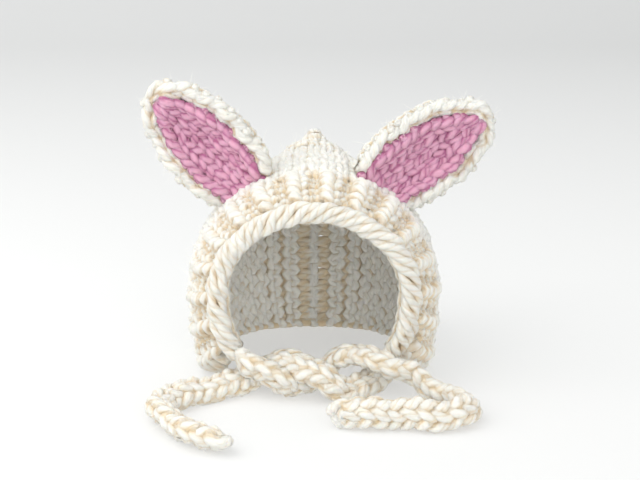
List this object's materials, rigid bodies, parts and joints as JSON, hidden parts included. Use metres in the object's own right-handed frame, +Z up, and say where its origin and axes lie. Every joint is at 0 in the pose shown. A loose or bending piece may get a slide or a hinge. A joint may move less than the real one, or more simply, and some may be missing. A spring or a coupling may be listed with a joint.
{
  "type": "knitted baby bonnet with ears",
  "caption": "Hand-knitted open-faced baby bonnet with a ribbed brim, a soft peak, two cupped leaf-shaped ears and a pair of knitted ties.",
  "frame": {"origin": "bottom centre of the box round everything but the ties, on the surface that the bonnet stands on", "axes": "the face opening looks along -Y, +X is to the right of someone who looks into it, +Z is up"},
  "size_m": [0.1726, 0.1743, 0.1424],
  "materials": {
    "cream_wool": "matte, thick soft yarn",
    "pink_wool": "matte, thick soft yarn"
  },
  "bodies": {
    "root": {"crown": "cream_wool", "brim": "cream_wool", "face_edging": "cream_wool", "ear_outer_left": "cream_wool", "ear_inner_left": "pink_wool", "ear_outer_right": "cream_wool", "ear_inner_right": "pink_wool", "tie_from_left": "cream_wool", "tie_from_right": "cream_wool"}
  },
  "joints": []
}
